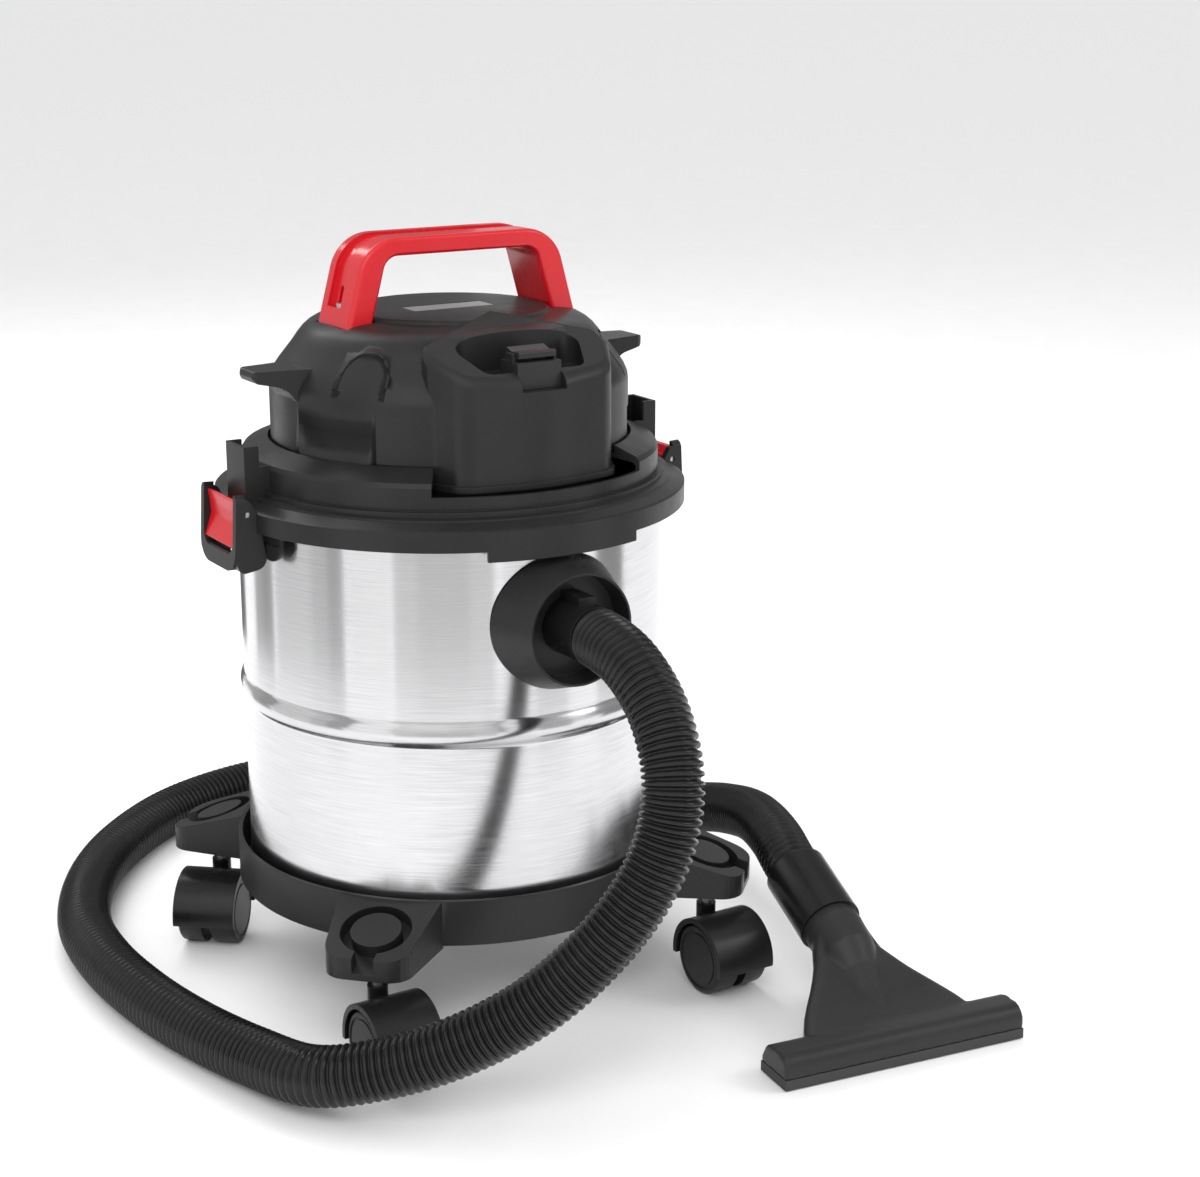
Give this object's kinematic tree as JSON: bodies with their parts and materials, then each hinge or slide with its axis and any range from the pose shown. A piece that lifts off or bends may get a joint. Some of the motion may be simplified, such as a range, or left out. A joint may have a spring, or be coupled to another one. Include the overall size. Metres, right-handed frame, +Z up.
{
  "type": "shop vacuum",
  "caption": "Wet and dry shop vacuum: a steel tank on a castered dolly, a latched motor head with a carrying handle, and a corrugated hose with a wide nozzle.",
  "frame": {"origin": "on the tank axis at floor level", "axes": "+Z up; the inlet, the nose and the switch face -Y; the latches are at +X and -X"},
  "size_m": [0.5383, 0.7179, 0.5356],
  "materials": {
    "steel_sheet": "polished sheet steel with a fine lengthwise grain",
    "black_plastic": "fine-textured moulded plastic",
    "caster_plastic": "smooth moulded plastic",
    "wheel_plastic": "hard moulded wheel",
    "zinc_plate": "bright zinc plate",
    "seal_rubber": "soft moulded rubber",
    "hose_plastic": "semi-gloss extruded plastic",
    "nozzle_plastic": "satin moulded plastic",
    "red_plastic": "high-gloss moulded plastic",
    "silver_foil": "blank silver foil",
    "switch_plastic": "satin moulded plastic",
    "motor_casting": "pressed and cast aluminium",
    "steel_laminate": "stacked steel sheets",
    "bearing_steel": "ground steel",
    "carbon": "pressed carbon",
    "copper_winding": "varnished copper",
    "fan_plastic": "plain moulded plastic",
    "foam": "open-cell foam",
    "cage_plastic": "moulded plastic",
    "float_plastic": "hollow moulded ball",
    "filter_foam": "open-cell foam sleeve"
  },
  "bodies": {
    "root": {"tank": "steel_sheet", "dolly_base": "black_plastic", "dolly_screws": "zinc_plate", "inlet_flange": "black_plastic", "inlet_gasket": "seal_rubber", "inlet_deflector": "black_plastic", "inlet_screws": "zinc_plate", "caster_stems": "zinc_plate", "hose_cuff": "hose_plastic", "hose": "hose_plastic", "hose_end_cuff": "hose_plastic", "nozzle": "nozzle_plastic", "nozzle_lip": "seal_rubber"},
    "head": {"lid": "black_plastic", "lid_seal": "seal_rubber", "head_cover": "black_plastic", "head_screws": "zinc_plate", "handle": "red_plastic", "handle_screws": "zinc_plate", "label_plate": "silver_foil", "vent_grilles": "black_plastic", "cord_gland": "seal_rubber", "switch_body": "switch_plastic", "latch_pins": "zinc_plate", "motor_housing": "motor_casting", "motor_stator": "steel_laminate", "motor_bearings": "bearing_steel", "motor_brushes": "carbon", "fan_housing": "motor_casting", "sound_foam": "foam", "float_cage": "cage_plastic", "filter": "filter_foam", "filter_band": "seal_rubber"},
    "switch": {"switch_rocker": "switch_plastic"},
    "latch_l": {"latch_left": "red_plastic"},
    "latch_r": {"latch_right": "red_plastic"},
    "rotor": {"rotor_shaft": "bearing_steel", "armature": "copper_winding", "commutator": "copper_winding", "impeller": "motor_casting", "cooling_fan": "fan_plastic"},
    "float": {"float_ball": "float_plastic"},
    "caster_fl": {"caster_hood_fl": "caster_plastic", "caster_axle_fl": "zinc_plate"},
    "wheel_a_fl_body": {"wheel_a_fl": "wheel_plastic"},
    "wheel_b_fl_body": {"wheel_b_fl": "wheel_plastic"},
    "caster_fr": {"caster_hood_fr": "caster_plastic", "caster_axle_fr": "zinc_plate"},
    "wheel_a_fr_body": {"wheel_a_fr": "wheel_plastic"},
    "wheel_b_fr_body": {"wheel_b_fr": "wheel_plastic"},
    "caster_rl": {"caster_hood_rl": "caster_plastic", "caster_axle_rl": "zinc_plate"},
    "wheel_a_rl_body": {"wheel_a_rl": "wheel_plastic"},
    "wheel_b_rl_body": {"wheel_b_rl": "wheel_plastic"},
    "caster_rr": {"caster_hood_rr": "caster_plastic", "caster_axle_rr": "zinc_plate"},
    "wheel_a_rr_body": {"wheel_a_rr": "wheel_plastic"},
    "wheel_b_rr_body": {"wheel_b_rr": "wheel_plastic"}
  },
  "joints": [
    {"name": "head_lift", "type": "slide", "parent": "root", "child": "head", "axis": [0, 0, 1], "range_m": [0, 0.2]},
    {"name": "latch_right_hinge", "type": "hinge", "parent": "head", "child": "latch_r", "pos_m": [0.168, 0, 0.361], "axis": [0, -1, 0], "range_deg": [0, 45]},
    {"name": "latch_left_hinge", "type": "hinge", "parent": "head", "child": "latch_l", "pos_m": [-0.168, 0, 0.361], "axis": [0, 1, 0], "range_deg": [0, 45]},
    {"name": "switch_rock", "type": "hinge", "parent": "head", "child": "switch", "pos_m": [0, -0.114, 0.464], "axis": [1, 0, 0], "range_deg": [-8, 8]},
    {"name": "rotor_spin", "type": "hinge", "parent": "head", "child": "rotor", "pos_m": [0, 0, 0.43], "axis": [0, 0, 1], "continuous": true},
    {"name": "float_rise", "type": "slide", "parent": "head", "child": "float", "axis": [0, 0, 1], "range_m": [0, 0.055]},
    {"name": "swivel_fl", "type": "hinge", "parent": "root", "child": "caster_fl", "pos_m": [-0.13223, -0.13223, 0.06], "axis": [0, 0, 1], "continuous": true},
    {"name": "roll_a_fl", "type": "hinge", "parent": "caster_fl", "child": "wheel_a_fl_body", "pos_m": [-0.13223, -0.15423, 0.025], "axis": [1, 0, 0], "continuous": true},
    {"name": "roll_b_fl", "type": "hinge", "parent": "caster_fl", "child": "wheel_b_fl_body", "pos_m": [-0.13223, -0.15423, 0.025], "axis": [1, 0, 0], "continuous": true},
    {"name": "swivel_fr", "type": "hinge", "parent": "root", "child": "caster_fr", "pos_m": [0.13223, -0.13223, 0.06], "axis": [0, 0, 1], "continuous": true},
    {"name": "roll_a_fr", "type": "hinge", "parent": "caster_fr", "child": "wheel_a_fr_body", "pos_m": [0.13223, -0.15423, 0.025], "axis": [1, 0, 0], "continuous": true},
    {"name": "roll_b_fr", "type": "hinge", "parent": "caster_fr", "child": "wheel_b_fr_body", "pos_m": [0.13223, -0.15423, 0.025], "axis": [1, 0, 0], "continuous": true},
    {"name": "swivel_rl", "type": "hinge", "parent": "root", "child": "caster_rl", "pos_m": [-0.13223, 0.13223, 0.06], "axis": [0, 0, 1], "continuous": true},
    {"name": "roll_a_rl", "type": "hinge", "parent": "caster_rl", "child": "wheel_a_rl_body", "pos_m": [-0.14637, 0.11538, 0.025], "axis": [0.766, -0.6428, 0], "continuous": true},
    {"name": "roll_b_rl", "type": "hinge", "parent": "caster_rl", "child": "wheel_b_rl_body", "pos_m": [-0.14637, 0.11538, 0.025], "axis": [0.766, -0.6428, 0], "continuous": true},
    {"name": "swivel_rr", "type": "hinge", "parent": "root", "child": "caster_rr", "pos_m": [0.13223, 0.13223, 0.06], "axis": [0, 0, 1], "continuous": true},
    {"name": "roll_a_rr", "type": "hinge", "parent": "caster_rr", "child": "wheel_a_rr_body", "pos_m": [0.13223, 0.15423, 0.025], "axis": [-1, 0, 0], "continuous": true},
    {"name": "roll_b_rr", "type": "hinge", "parent": "caster_rr", "child": "wheel_b_rr_body", "pos_m": [0.13223, 0.15423, 0.025], "axis": [-1, 0, 0], "continuous": true}
  ]
}
